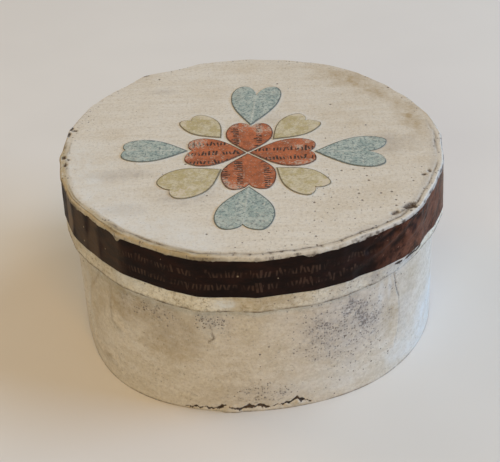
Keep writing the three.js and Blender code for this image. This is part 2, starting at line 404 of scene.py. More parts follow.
def cream_paint(name, brush_along, base, shade, on_hoop_face=True, granular=0.0):
    """Old cream distemper on paper, with foxing, grey dirt, rubbed places, mould, pits and bare board, and
    the painted shade and painted light that its fields also carry.
    """
    look = Look(name)
    where = look.hoop_place() if on_hoop_face else look.place
    brush = look.noise(2.2, where, (brush_along, 1, 1), detail=4, rough=0.6)
    broad = look.noise(17, where, detail=4)
    grain = look.noise(0.9, where, detail=5, rough=0.75)
    ragged = look.between(look.noise(4, where, detail=5, rough=0.7), 0.3, 0.7, 0.4, 1.3)
    color = look.mix(look.between(brush, 0.35, 0.68), base, shade)
    color = look.mix(look.between(broad, 0.45, 0.7, 0.0, 0.35), color, "#bdb09a")
    color = look.mix(look.between(grain, 0.5, 0.68, 0.0, 0.42 + granular), color, "#958871")
    color = look.mix(look.between(grain, 0.5, 0.34, 0.0, 0.42 + granular), color, "#e0dacb")
    for field, most, tint in CREAM_STAINS:
        share = look.math("MINIMUM", look.times(look.field(field), ragged), 1.0)
        color = look.mix(look.times(share, most), color, tint)

    mould = look.field("mould")
    color = look.mix(look.times(mould, ragged, 0.4), color, "#a09896")
    flecks = look.noise(0.85, where, detail=4, rough=0.8)
    clusters = look.between(look.noise(4, where, detail=2), 0.35, 0.6, 0.05, 0.11)
    flecks = look.math("MULTIPLY_ADD", mould, clusters, flecks)
    grains = look.dots(0.95, 0.33, look.times(mould, ragged, 0.9), where)
    light_flecks = look.times(look.between(look.noise(1.0, where, detail=3), 0.6, 0.66), mould)
    color = look.mix(look.times(light_flecks, 0.6), color, "#dcd7cf")
    flecks = look.between(flecks, 0.63, 0.69)
    color = look.mix(look.times(look.math("MAXIMUM", flecks, grains), 0.7), color, "#5f5857")
    pits = look.dots(3.4, 0.38, look.math("MULTIPLY_ADD", look.field("pits"), 0.42, 0.03), where)
    small_pits = look.dots(1.9, 0.24, look.times(look.field("pits"), 0.55), where)
    pits = look.math("MAXIMUM", pits, small_pits)
    color = look.mix(look.times(pits, 0.8), color, "#54463b")

    # Dark dirt, together with painted shade in the wall's folds, under the lid, along the rim's lower edge
    # and in the lid's groove
    dirt_and_shade = look.times(look.field("dirt_and_shade"), look.between(grain, 0.35, 0.6, 0.7, 1.1))
    color = look.mix(look.math("MINIMUM", dirt_and_shade, 1.0), color, "#433427")
    fray = look.noise(0.7, where, detail=5, rough=0.75)
    torn = look.field("bare")
    bare = look.between(look.math("MULTIPLY_ADD", fray, 2.6, torn), 1.75, 1.9)
    bare = look.times(bare, look.between(torn, 0.05, 0.15))
    board = look.mix(look.between(grain, 0.35, 0.65), "#1f1610", "#4d3a29")
    color = look.mix(bare, color, board)

    relief = look.math("MULTIPLY_ADD", grain, 0.7 + granular, look.times(brush, 0.3))
    holes = look.math("MAXIMUM", flecks, pits)
    normal = look.bump(look.math("MULTIPLY_ADD", holes, -0.4, relief), 0.2)
    return look.finish(color, look.between(brush, 0.3, 0.7, 0.7, 0.88), normal)


# Heights of the band's two rows of print
BAND_PRINT_ROWS = [53.9, 49.7]


def band_paint(name):
    """Dark glazed paper with two faint rows of print, reddish where its ends lap, partly rubbed and partly
    a painted sheen, with painted reflections on its facets and painted shade in its creases.
    """
    look = Look(name)
    where = look.hoop_place()
    along, up, _ = look.parts(where)
    mottle = look.noise(3, where, (2, 1, 1), detail=5, rough=0.65)
    color = look.mix(look.between(mottle, 0.35, 0.7), "#140906", "#26140f")
    worn = look.times(look.between(look.noise(5, where, detail=3), 0.4, 0.6), look.field("print"), 0.4)
    for seed, row in enumerate(BAND_PRINT_ROWS):
        marks = stroke_row(look, along, look.math("SUBTRACT", up, row), seed + 1)
        color = look.mix(look.times(marks, worn), color, "#59453a")
    streaks = look.noise(3.4, look.turned(where, 50), (1.7, 1, 1), detail=6, rough=0.72)
    red = look.field("red")
    # The red field is rubbed reddish paper and a painted sheen where the band faces the light
    color = look.mix(look.times(red, look.between(streaks, 0.4, 0.58, 0.15, 1.0)), color, "#68402f")
    scratches = look.noise(1.3, look.turned(where, 35), (2.4, 1, 1), detail=5, rough=0.85)
    color = look.mix(look.times(look.between(scratches, 0.6, 0.66), red, 0.75), color, "#a78474")
    # Painted shade in the band's creases
    color = look.mix(look.field("fold"), color, "#120a08")
    # Painted reflections on the band's facets, and dust
    dust_and_sheen = look.times(look.field("dust_and_sheen"), look.between(mottle, 0.3, 0.7, 0.5, 1.0))
    color = look.mix(dust_and_sheen, color, "#786553")
    chips = look.dots(5.5, 0.3, 0.2, where)
    color = look.mix(look.times(chips, 0.7), color, "#9c8d78")
    normal = look.bump(look.noise(1.2, where, (2, 1, 1), detail=5, rough=0.65), 0.1)
    return look.finish(color, look.between(mottle, 0.3, 0.7, 0.45, 0.62), normal, specular=0.1)


def heart_paint(name, light, dark, fleck, fleck_share, outline_shade, worn, fold, print_turn=0, print_rows=()):
    """Cut printed paper, painted over, with painted shade round its cut edge. print_rows are the distances
    of rows of print from the origin, across the direction in which they run."""
    look = Look(name)
    mottle = look.noise(2.6, detail=4, rough=0.65)
    fine = look.noise(0.8, detail=4, rough=0.8)
    pale = look.noise(0.9, look.turned(look.place, 30), detail=4, rough=0.8)
    color = look.mix(look.between(mottle, 0.38, 0.62), light, dark)
    color = look.mix(look.between(fine, 0.49, 0.6, 0, fleck_share), color, fleck)
    color = look.mix(look.between(pale, 0.58, 0.66, 0, 0.7 * fleck_share), color, "#cfc9bb")
    along, across, _ = look.parts(look.turned(look.place, print_turn))
    for seed, row in enumerate(print_rows):
        marks = stroke_row(look, along, look.math("SUBTRACT", across, row), seed + 3)
        inked = look.between(fine, 0.62, 0.5, 0.5, 0.95)
        color = look.mix(look.times(marks, inked), color, "#211613")
    rubbed = look.math("MULTIPLY_ADD", look.field("worn"), 0.14, fine)
    color = look.mix(look.between(rubbed, 0.58, 0.66, 0.0, worn), color, "#cdc3b4")
    color = look.mix(look.times(look.field("fold"), fold), color, "#d3d4cc")
    # Painted shade round the cut edge and down the side, under a pale cut line at the top
    edge = look.math("MULTIPLY_ADD", fine, 0.4, look.field("edge"))
    color = look.mix(look.between(edge, 0.55, 0.85, 0.0, 0.85), color, outline_shade)
    color = look.mix(look.between(edge, 1.12, 1.22, 0.0, 0.5), color, "#ddd4c4")
    normal = look.bump(look.math("ADD", mottle, fine), 0.06)
    return look.finish(color, look.between(mottle, 0.3, 0.7, 0.65, 0.85), normal)


def board_paint(name):
    """Grey-brown pasteboard with pulp fibres."""
    look = Look(name)
    pulp = look.noise(1.5, detail=5, rough=0.7)
    fibres = look.noise(0.6, stretch=(6, 1, 1), detail=3)
    color = look.mix(look.between(pulp, 0.3, 0.7), "#8f7b60", "#a8967a")
    color = look.mix(look.between(fibres, 0.55, 0.7, 0, 0.6), color, "#6f5c45")
    color = look.mix(look.between(look.noise(20, detail=4), 0.45, 0.7, 0, 0.5), color, "#7d6a50")
    return look.finish(color, look.between(pulp, 0.3, 0.7, 0.8, 0.95), look.bump(fibres, 0.1))


# The wall. Marks and paths are placed by angle and height.

WALL_SOFTENING = 8

# Heights between the solid's ends at which it is read, and which levels, ends included, the inside follows
WALL_LEVELS = [4, 9, 14, 20, 26, 31, 36, 40.8, 50]
WALL_INSIDE_LEVELS = [0, 4, 8, 10]

# Rows of the wall's mesh: fine along the torn foot, coarser above, and few under the lid
FOOT_ZONE = 5
FOOT_ROW = 0.28
WALL_ROW = 0.55
ROWS_UNDER_LID = [45, 50, 55]

WALL_FOLDS = [
    [(-144.1, 36.7), (-151.1, 26.5), (-154.1, 16.5), (-154.3, 10.1), (-151.3, 6), (-145.8, 5.7),
     (-139.8, 7.7)],
    [(-137.4, 36.7), (-139, 30.1), (-138.3, 22.8), (-134.3, 21)],
    [(-159, 34), (-160, 20), (-158, 9)],
]
FOLD_LIFTS = [0.38, 0.25, 0.2]
FOLD_WIDTH = 1.4
LAP_SEAM = [(-46, 40), (-44.7, 33.3), (-43, 28.4), (-42.4, 20.3), (-43.1, 14.8), (-44.5, 11.6)]
SEAM_LIFT = 0.4
SEAM_WIDTH = 2.0
CRACK_DEPTH = 0.3
SCRATCH = [(-103.9, 33), (-103.7, 31), (-103, 28.6), (-104.6, 27.3)]
LINE_WIDTH = 0.3

# Where the covering has torn off along the foot: angle, height of the tear and its depth up and down
FOOT_TEARS = np.array([
    (-114, 0.8, 0), (-111.8, 0.9, 0.5), (-108.9, 0.8, 0.3), (-104.2, 1.1, 0.4), (-102, 1.9, 0.75),
    (-100.5, 2.2, 0.1), (-97.2, 1.2, 0.2), (-96.3, 1.3, 0.5), (-93.5, 2.4, 0.6), (-91.5, 1.8, 0.4),
    (-90.2, 2.6, 0.7), (-88.5, 1.4, 0.5), (-86.5, 1.1, 0.3), (-84.9, 1.9, 0.35), (-81.8, 2.0, 0.4),
    (-80.2, 2.5, 0.7), (-79.2, 3.4, 0.5), (-77.6, 2.9, 0.7), (-76.5, 1.6, 0.5), (-73.5, 1.2, 0),
])
TEAR_DEPTH = 0.35
FOOT_FLAPS = [Mark((-99, 0.6), (2.6, 1.6), 0.55), Mark((-78.6, 1.9), (0.8, 0.7), 0.5)]

WALL_STAINS = [
    Mark((-127, 33), (19, 6), 0.75), Mark((-117, 27), (9, 9), 0.5), Mark((-150, 27), (7, 12), 0.4),
    Mark((-96, 7), (12, 4), 0.2), Mark((-47, 23), (4, 7), 0.6), Mark((-36, 30), (7, 6), 0.35),
    Mark((170, 20), (20, 9), 0.5), Mark((70, 30), (24, 7), 0.5), Mark((20, 12), (15, 7), 0.4),
]
WALL_DIRT = [
    Mark((-62, 29), (14, 11), 0.5), Mark((-118, 30), (16, 7), 0.35), Mark((-40, 24), (5, 9), 0.3),
    Mark((40, 28), (16, 9), 0.4), Mark((120, 18), (20, 8), 0.35),
]
WALL_MOULD = [
    Mark((-62, 28), (15, 12), 0.65), Mark((-57, 25), (7, 9), 1), Mark((-60, 33), (8, 5), 1),
    Mark((-88, 7), (10, 3), 0.5), Mark((-103, 35), (5, 3), 0.8), Mark((-122, 34), (9, 3), 0.7),
    Mark((42, 30), (9, 6), 0.8), Mark((128, 16), (9, 6), 0.7),
]
WALL_PITTED = [
    Mark((-105, 33), (6, 4), 0.7), Mark((-122, 34), (8, 3), 0.5), Mark((-54, 10), (9, 6), 0.4),
    Mark((-82, 8), (10, 5), 0.4), Mark((60, 20), (30, 14), 0.3),
]
# Pale marks; the broad one low at the right is a painted pool of light where the window falls on the wall
WALL_PALE_AND_LIT = [
    Mark((-20, 7), (21, 12), 0.6), Mark((-51, 34), (1.3, 5), 0.5), Mark((-47.5, 35), (0.7, 5), 0.5),
    Mark((-155, 20), (2.5, 16), 0.25), Mark((-104, 33), (3.5, 4), 0.35), Mark((-70, 8), (16, 5), 0.25),
]


def foot_tears(up, ragged):
    """The share of bare board along the foot. The paper below a tear is still there."""
    angle, height, depth = FOOT_TEARS.T
    middle = np.interp(ANGLES, angle, height) + 0.3 * round_cloud(1.6) + 0.3 * round_cloud(0.7)
    reach = np.interp(ANGLES, angle, depth, left=0, right=0)
    reach = reach * (1 + 0.5 * round_cloud(0.9, shift=40))
    torn = smooth_share(reach - np.abs(up - middle) + 0.3 * ragged, -0.4, 0.45)
    return torn * smooth_share(reach, 0.0, 0.15)


def wall_relief(points, up):
    """How far the covering stands out, and the shares of crack, scratch and painted shade beside the folds.
    """
    across = round_mm(ANGLES)[None, :]
    relief = 0.1 * cloud(points, 9) + 0.05 * cloud(points, 3)
    fold_shade = np.zeros(relief.shape)
    for path, lift in zip(WALL_FOLDS, FOLD_LIFTS):
        away = distance_to_path(across, up, on_hoop(path))
        # Painted shade along one side of each fold
        beside = distance_to_path(across + 1.2, up, on_hoop(path))
        fold_shade = np.maximum(fold_shade, 1.4 * lift * hump(beside, 0.8))
        relief = relief + lift * hump(away, FOLD_WIDTH) - 0.6 * lift * hump(away - 3, 1.6)
    fold_shade = fold_shade * smooth_share(cloud(points, 8), -0.6, 0.3)
    seam_path = on_hoop(LAP_SEAM)
    seam = distance_to_path(across, up, seam_path)
    seam_at = np.interp(up, [p[1] for p in seam_path][::-1], [p[0] for p in seam_path][::-1])
    relief = relief + np.where(across > seam_at, 0, SEAM_LIFT) * hump(seam, SEAM_WIDTH)
    crack = hump(seam + 0.15 * cloud(points, 0.9), LINE_WIDTH) * (0.55 + 0.45 * smooth_share(up, 24, 30))
    scratch = hump(distance_to_path(across, up, on_hoop(SCRATCH)), LINE_WIDTH)
    scratch = scratch * smooth_share(cloud(points, 1.1), -0.5, 0.1)
    return relief - CRACK_DEPTH * crack, crack, scratch, fold_shade


def make_wall():
    low, high = heights_of("box_wall")
    known = np.array([low + WITHIN_ENDS, *WALL_LEVELS, high - WITHIN_ENDS])
    rows = softened(softened(outside_radii("box_wall", known), WALL_SOFTENING), WALL_SOFTENING)
    under_lid = heights_of("lid_rim")[0]
    foot_rows = np.arange(low, FOOT_ZONE, FOOT_ROW)
    seen_rows = np.arange(FOOT_ZONE, under_lid + 1, WALL_ROW)
    heights = np.concatenate([foot_rows, seen_rows, ROWS_UNDER_LID, [high]])
    radii = at_heights(rows, known, heights)
    up = heights[:, None]
    points = ring_points(radii, up)

    relief, crack, scratch, fold_shade = wall_relief(points, up)
    bare = foot_tears(up, cloud(points, 0.8))
    relief = relief * smooth_share(high - up, 0, 2) * smooth_share(up, 0, 1.5) - TEAR_DEPTH * bare
    relief = relief + hoop_patches(up, FOOT_FLAPS, 0.25, 0.2 * cloud(points, 1))

    wobble = 0.4 * cloud(points, 7) + 0.2 * cloud(points, 2.5)
    # Painted shade on the wall just under the lid: a darker band and a dark line along the lid's edge
    shade_near_lid = smooth_share(up, under_lid - 2, under_lid)
    shade_under_lid = smooth_share(up, under_lid - 0.7, under_lid) * (0.6 + 0.4 * round_cloud(6))
    foot_line = hump(up, 0.35) * (0.6 + 0.3 * round_cloud(5))
    fields = {
        "tan": hoop_patches(up, WALL_STAINS, 0.6, wobble) + 0.25 * shade_near_lid + 0.8 * fold_shade,
        "grey": hoop_patches(up, WALL_DIRT, 0.6, wobble) + 0.3 * shade_near_lid,
        "pale": hoop_patches(up, WALL_PALE_AND_LIT, 0.5, wobble),
        "mould": hoop_patches(up, WALL_MOULD, 0.8, wobble),
        "pits": hoop_patches(up, WALL_PITTED, 0.6, wobble),
        "dirt_and_shade": np.clip(0.9 * crack + 0.8 * scratch + 0.45 * fold_shade + foot_line + shade_under_lid, 0, 1),
        "bare": bare,
    }
    outer = ring_points(radii + relief, up)
    inner = inside_rings("box_wall", known, rows, WALL_INSIDE_LEVELS)
    material = cream_paint("wall_paint", 2.5, "#cdc4b8", "#c2b7a7")
    make_hoop("wall_paper", outer, inner, fields, material, "box_wall")


# The lid's rim

RIM_SOFTENING = 3
RIM_LEVELS = [43, 46.3, 50]
RIM_INSIDE_LEVELS = [0, 2, 4]

# Rows of the rim's mesh: fine below the band and few behind it
RIM_ROW = 0.3
SEEN_RIM_TOP = 47.4
ROWS_BEHIND_BAND = [50, 54]

RIM_STAINS = [
    Mark((-89.5, 43), (8.5, 9), 0.55), Mark((-150, 43), (22, 6), 0.5), Mark((150, 43), (30, 6), 0.4),
]
RIM_DIRT = [
    Mark((-64, 43), (14, 5), 0.45), Mark((-52, 43), (6, 4), 0.8), Mark((-42, 43.6), (6, 2), 0.9),
    Mark((30, 43), (22, 4), 0.5),
]
RIM_PALE = [
    Mark((-46, 43), (5, 4), 0.5), Mark((-99, 43.5), (3, 1.4), 0.9), Mark((-128, 44), (6, 2), 0.4),
]
RIM_CHIPS = [
    Mark((-42, 44.3), (2.6, 0.9), 1), Mark((-47, 44.6), (1.6, 0.7), 1),
    Mark((-37.5, 43.8), (2.2, 0.8), 1),
]
RIM_PITTED = 0.12


def make_rim():
    low, high = heights_of("lid_rim")
    known = np.array([low + WITHIN_ENDS, *RIM_LEVELS, high - WITHIN_ENDS])
    rows = softened(outside_radii("lid_rim", known), RIM_SOFTENING)
    heights = np.concatenate([np.arange(low, SEEN_RIM_TOP, RIM_ROW), ROWS_BEHIND_BAND, [high]])
    radii = at_heights(rows, known, heights)
    up = heights[:, None]
    points = ring_points(radii, up)
    wobble = 0.35 * cloud(points, 4) + 0.2 * cloud(points, 1.5)
    relief = (0.09 * cloud(points, 5) + 0.1 * cloud(points, 1.4)) * smooth_share(high - up, 0, 8)
    # Painted shade along the rim's lower edge
    lower_edge_shade = hump(up - low, 0.5) * (0.7 + 0.5 * cloud(points, 3))
    grime = hoop_patches(up, RIM_DIRT, 0.5, wobble)
    fields = {
        "tan": hoop_patches(up, RIM_STAINS, 0.3, wobble),
        "grey": grime,
        "pale": hoop_patches(up, RIM_PALE, 0.6, wobble),
        "mould": 0.35 * grime,
        "pits": RIM_PITTED,
        "dirt_and_shade": np.clip(lower_edge_shade, 0, 1),
        "bare": hoop_patches(up, RIM_CHIPS, 0.4, wobble),
    }
    outer = ring_points(radii + relief, up)
    inner = inside_rings("lid_rim", known, rows, RIM_INSIDE_LEVELS)
    material = cream_paint("rim_paint", 2, "#dad3c4", "#ccc2ae", granular=0.5)
    make_hoop("rim_paper", outer, inner, fields, material, "lid_rim")


# The dark band round the lid

BAND_PAPER = 0.3
BAND_SOFTENING = 2
BAND_LEVELS = [46.4, 48, 50, 54, 58.4]
BAND_ROWS = 37
BAND_FOLD_DEPTH = 0.25

# Stretches of the band: middle angle, half width and fade
PRINTED_STRETCH = (-93, 33, 6)
LAPPED_AND_SHEEN_STRETCH = (-15, 30, 16)

# Folds in the band: their paths and widths
BAND_FOLDS = [
    ([(-41, 58), (-47, 54), (-54, 50.5), (-61, 47.5)], 1.5),
    ([(-36, 57.5), (-44, 56)], 1.3),
    ([(-50, 57.5), (-58, 54)], 1.0),
]
# Light patches: the four at the left are painted reflections on the facets between creases, the others dust
BAND_DUST_AND_SHEEN = [
    Mark((-157, 53), (3, 12), 0.85), Mark((-149, 53), (3.5, 14), 0.3), Mark((-142, 52), (3, 14), 0.35),
    Mark((-134, 52), (5, 14), 0.2),
    Mark((-8, 52), (9, 12), 0.6), Mark((60, 52), (30, 8), 0.2), Mark((150, 52), (30, 8), 0.3),
]


def make_band():
    top = heights_of("lid_band")[1]
    bottom = lower_edge("lid_band")[None, :]
    shares = np.linspace(0, 1, BAND_ROWS)[:, None]
    heights = bottom + shares * (top - bottom)
    known = np.array([*BAND_LEVELS, top - WITHIN_ENDS])
    rows = softened(outside_radii("lid_band", known), BAND_SOFTENING)
    radii = at_heights(rows, known, np.linspace(known[0], known[-1], BAND_ROWS))
    across = round_mm(ANGLES)[None, :]
    points = ring_points(radii, heights)
    relief = 0.08 * cloud(points, 6) + 0.03 * cloud(points, 1.5)
    fold = np.zeros(heights.shape)
    for path, wide in BAND_FOLDS:
        away = distance_to_path(across, heights, on_hoop(path))
        fold = np.maximum(fold, hump(away + 0.4 * cloud(points, 2), wide))
        relief = relief + BAND_FOLD_DEPTH * hump(away - 2 * wide, wide)
    relief = relief - BAND_FOLD_DEPTH * fold
    wobble = 0.3 * cloud(points, 5) + 0.2 * cloud(points, 2)
    # Reddish where the ends lap, partly rubbed paper and partly painted sheen
    red = around(ANGLES, *LAPPED_AND_SHEEN_STRETCH)[None, :] * (0.85 + 0.3 * wobble)
    fields = {
        "red": np.clip(red, 0, 1),
        # The fold field is painted shade in the band's creases
        "fold": 0.9 * fold * smooth_share(cloud(points, 2.2), -0.9, 0.0),
        "dust_and_sheen": hoop_patches(heights, BAND_DUST_AND_SHEEN, 0.4, wobble),
        "print": around(ANGLES, *PRINTED_STRETCH)[None, :],
    }
    outer = ring_points(radii + relief, heights)
    inner_rows = [0, BAND_ROWS // 2, BAND_ROWS - 1]
    inner = ring_points(radii[inner_rows] - BAND_PAPER, heights[inner_rows])
    make_hoop("band_paper", outer, inner, fields, band_paint("band_paint"), "lid_band")


# The lid's top. Marks on it are placed by X and Y.

EDGE_ROUNDING = 0.9
LID_SOFTENING = 3

# The covering's skirt over the band: the height of its edge, and how far its faces are outside the disc
SKIRT_HEIGHT = 58.75
SKIRT_INSIDE = 0.42
SKIRT_OUTSIDE = 0.55

# How far the skirt's edge stays clear of the ring of points inside it and of the shoulder above it
SKIRT_RING_ROOM = 0.05
SKIRT_SHOULDER_ROOM = 0.1

# Rings of the lid's mesh, measured inwards from its edge: close along the worn edge, wider beyond
WORN_ZONE = 15
WORN_RING = 0.42
INNER_ZONE = 56
INNER_RING = 1.05

# Stretches of the lid's edge: middle angle, half width and fade
LEFT_EDGE = (-142, 36, 14)
FRONT_EDGE = (-88, 42, 14)
RIGHT_EDGE = (-26, 24, 18)
STAINED_EDGE = (38, 26, 22)

# On top the covering lies this far below the solid's face, clear of the hearts, apart from its relief
TOP_SINK = 0.02
MOST_RELIEF = 0.1

# Round the rosette's middle the covering is flat within one distance, with its full relief past another
ROSETTE_AT = (-1, -5)
FLAT_WITHIN = 32
FULL_RELIEF = 40

# Tabs of paper that hang over the band: angle, half width in degrees and length
SKIRT_TABS = [(-155.8, 1.0, 1.0), (-150, 3, 0.4), (-130.5, 1.0, 1.5), (-102, 1.5, 0.7), (-75, 1.2, 0.9),
              (-61, 2.0, 0.6), (-20, 3, 0.5), (35, 2, 0.8), (100, 3, 0.6), (160, 2, 0.8)]
GROOVE_INSET = 1.9
GROOVE_DEPTH = 0.3
GOUGE = [(40.0, -42.0), (43.4, -39.4), (46.6, -36.2)]
GOUGE_DEPTH = 0.5
CHIP_DEPTH = 0.35
EDGE_CHIPS = [
    Mark((-58.2, 15.4), (0.9, 1.6), 1), Mark((-58.6, 11.6), (0.7, 1.5), 1),
    Mark((-56.6, 13.6), (1.2, 0.6), 0.9), Mark((-58.6, -2.9), (0.6, 1.2), 1),
    Mark((-57, -4.5), (0.5, 0.5), 1), Mark((-57.7, -7.4), (0.5, 1), 1),
    Mark((45.5, -38.6), (1.6, 0.9), 0.9), Mark((51.6, -21.8), (0.8, 0.5), 0.8),
    Mark((53.6, -20), (0.5, 0.9), 0.8), Mark((-36, 50.5), (1.4, 0.7), 0.7),
]

# Angles of small dark nicks across the front edge
EDGE_TICKS = [-96, -91.5, -86, -83, -79.5, -72, -66, -60]
TICK_DEPTH = 0.15
FOXING = [Mark((34, 42), (10, 5), 0.3), Mark((44, 34), (9, 6), 0.25), Mark((52, 14), (4, 9), 0.25)]
SMUDGES = [
    Mark((-40, -15), (10, 3), 0.6), Mark((-19, -27), (9, 5), 0.7), Mark((-38, -34), (6, 3), 0.5),
    Mark((44, -3), (9, 5), 0.5), Mark((8, 16), (6, 4), 0.35), Mark((-29, 38), (4, 2), 0.4),
]
PITTED = [
    Mark((25, -31), (12, 11), 0.85), Mark((8, -54), (14, 2.5), 0.7), Mark((12, -48), (8, 3), 0.6),
    Mark((50, -22), (5, 4), 0.7), Mark((-54, 22), (3, 8), 0.5), Mark((40, -40), (10, 8), 0.6),
]


def lid_top_rings(base, top):
    """Rings of points from below the disc's middle, round its edge, and back to the middle on top."""
    edge = softened(outside_radii("lid_top", [top - EDGE_ROUNDING]), LID_SOFTENING)[0]
    lip = edge + SKIRT_OUTSIDE + 0.12 * round_cloud(4)
    skirt = SKIRT_HEIGHT + 0.25 * round_cloud(1.8) + 0.15 * round_cloud(0.8)
    for angle, wide, deep in SKIRT_TABS:
        skirt = skirt - deep * hump(turned_from(ANGLES, angle), wide)
    inside = edge + SKIRT_INSIDE
    shoulder = top - EDGE_ROUNDING
    skirt = np.minimum(skirt, shoulder - SKIRT_SHOULDER_ROOM)
    disc_edge = np.minimum(base, skirt - SKIRT_RING_ROOM)
    under = [ring_points(edge * 0.3, base), ring_points(edge * 0.97, base)]
    under += [ring_points(inside, disc_edge), ring_points(inside, skirt)]
    rise = np.linspace(0, 1, 6)[:, None]
    side = ring_points(lip, skirt + rise * (shoulder - skirt))
    turn = np.radians(np.linspace(12, 90, 7))[:, None]
    rounding = EDGE_ROUNDING * (0.8 + 0.4 * np.cos(turn))
    corner = ring_points(lip - rounding * (1 - np.cos(turn)), shoulder + EDGE_ROUNDING * np.sin(turn))
    reach = lip - EDGE_ROUNDING * 0.8
    worn = np.arange(0.3, WORN_ZONE, WORN_RING)
    inner = np.arange(WORN_ZONE + 0.6, INNER_ZONE, INNER_RING)
    flat = ring_points(reach - np.concatenate([worn, inner])[:, None], top)
    return np.concatenate([np.concatenate(under), side, corner, flat]), lip


# The cream is paler round the hearts, as far out as this from the lid's middle
HALO_REACH = 36


def distance_to_hearts(x, y):
    """How far each place within the halo's reach is from the nearest cut edge of a heart."""
    nearest = np.full(x.shape, np.inf)
    close = np.hypot(x, y) < HALO_REACH
    for node in heart_nodes():
        corners = heart_corners(node)[0]
        edge = distance_to_path(x[close], y[close], np.concatenate([corners, corners[:1]]))
        nearest[close] = np.minimum(nearest[close], edge)
    return nearest


def make_lid_top():
    base, top = heights_of("lid_top")
    points, lip = lid_top_rings(base, top)
    x, y, z = np.moveaxis(points, -1, 0)
    angle = np.degrees(np.arctan2(y, x))
    from_edge = lip[None, :] - np.hypot(x, y)
    on_top = z > top - 0.01
    wobble = 0.4 * cloud(points, 7) + 0.2 * cloud(points, 2.5)
    left = around(angle, *LEFT_EDGE)
    front = around(angle, *FRONT_EDGE)
    right = around(angle, *RIGHT_EDGE)

    # The groove is pressed in and also darkened as painted shade, with a grey band of painted shade beside
    # it on the right
    groove_at = GROOVE_INSET + 0.35 * cloud(points, 9) + 0.15 * cloud(points, 2)
    groove = hump(from_edge - groove_at, 0.3) * np.maximum(front, 0.65 * right)
    groove = groove * smooth_share(z, top - 1, top) * smooth_share(cloud(points, 6), -0.9, -0.2)
    fibres = cloud(np.stack([round_mm(angle) / 11, from_edge / 0.33, 0 * x], axis=-1), 1)
    gouge = hump(distance_to_path(x, y, GOUGE), 0.8) * smooth_share(cloud(points, 1.2), -0.6, 0.2)
    chips = patches(x, y, EDGE_CHIPS, 0.4, 0.5 * cloud(points, 0.9))
    to_tick = np.min([np.abs(turned_from(angle, place)) for place in EDGE_TICKS], axis=0)
    ticks = hump(np.radians(to_tick) * MEAN_RADIUS, 0.35) * hump(from_edge - 1.4, 0.5) * on_top

    from_rosette = np.hypot(x - ROSETTE_AT[0], y - ROSETTE_AT[1])
    relief = 0.05 * cloud(points, 11) + 0.02 * cloud(points, 3)
    relief = relief * smooth_share(from_rosette, FLAT_WITHIN, FULL_RELIEF)
    near_edge = smooth_share(-from_edge, -4, -1)
    relief = relief + near_edge * (0.08 * cloud(points, 2.2) + 0.1 * left * fibres)
    relief = relief - GROOVE_DEPTH * groove - GOUGE_DEPTH * gouge - CHIP_DEPTH * chips - TICK_DEPTH * ticks
    points[..., 2] += np.where(on_top, np.minimum(relief, MOST_RELIEF) - TOP_SINK, 0.0)

    rolled = smooth_share(-from_edge + 0.6 * wobble, -3.6, -1.0) * left
    ring_stain = 0.6 * hump(from_edge - 5.5 - 5 * wobble, 2.8) * around(angle, *STAINED_EDGE)
    warm = 0.18 * smooth_share(x + 0.4 * y + 20 * wobble, -10, 60)
    cool = smooth_share(-from_edge + 8 * wobble, -22, -5) * left * (1 - rolled)
    halo = 1 - smooth_share(distance_to_hearts(x, y), 0.5, 2.0)
    hanging = smooth_share(-z, -SKIRT_HEIGHT - 0.3, -SKIRT_HEIGHT + 0.4)
    side = smooth_share(-z, -top + 0.1, -top + 0.5)
    crumbs = side * smooth_share(cloud(points, 0.9) + 0.2 * right, 0.1, 0.5)
    fields = {
        "tan": np.clip(patches(x, y, FOXING, 0.7, wobble) + ring_stain * (0.5 + wobble) + warm
                       + 0.3 * near_edge * front, 0, 1),
        "rolled": np.clip(rolled * (1.2 + 0.5 * fibres), 0, 1.5),
        # The grey field holds smudges, painted shade beside the groove on the right, and grey on the lid's
        # side
        "grey": np.clip(patches(x, y, SMUDGES, 0.7, wobble) + 0.4 * hump(from_edge - 3, 1) * right
                        + side * (0.25 + 1.0 * right), 0, 1.3),
        "pale": np.clip(0.6 * cool + 0.3 * right * near_edge * (1 - side) + 0.35 * halo, 0, 1),
        "mould": 0.15 * near_edge,
        "pits": patches(x, y, PITTED, 0.6, wobble) + 0.15 * near_edge,
        "dirt_and_shade": np.clip(groove * (0.7 + 0.3 * cloud(points, 2)) + gouge + chips + 0.8 * ticks
                        + rolled * (0.04 + 0.5 * smooth_share(fibres, 0.1, 0.7)) + 0.35 * hanging
                        + crumbs * (0.45 + 0.4 * right - 0.25 * left), 0, 1),
        "bare": np.zeros(x.shape),
    }
    ring_count = len(points)
    below, above = ring_count * STEPS_ROUND, ring_count * STEPS_ROUND + 1
    vertices = np.concatenate([points.reshape(-1, 3), [[0, 0, base], [0, 0, top - TOP_SINK]]])
    fields = {label: np.append(values.ravel(), [0, values[-1].mean()]) for label, values in fields.items()}
    faces = loop_faces(ring_count, STEPS_ROUND)
    faces += cap_faces(0, STEPS_ROUND, below, upwards=False)
    faces += cap_faces(ring_count - 1, STEPS_ROUND, above, upwards=True)
    material = cream_paint("lid_paint", 8, "#d2cec6", "#ccc6bb", on_hoop_face=False)
    make_piece("lid_cover", vertices, faces, fields, material, "lid_top")


# The rosette of paper hearts

# How many parts each side of a solid's outline is cut into, and the rings inwards from the cut edge
OUTLINE_PARTS = 5
HEART_INSETS = np.array([0, 0.12, 0.25, 0.4, 0.6, 0.9, 1.3, 1.8, 2.4, 3.1, 3.9, 4.7, 5.5, 6.3])


def heart_nodes():
    return sorted(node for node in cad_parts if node.startswith("heart_"))


def unit(rows):
    return rows / np.linalg.norm(rows, axis=1, keepdims=True)


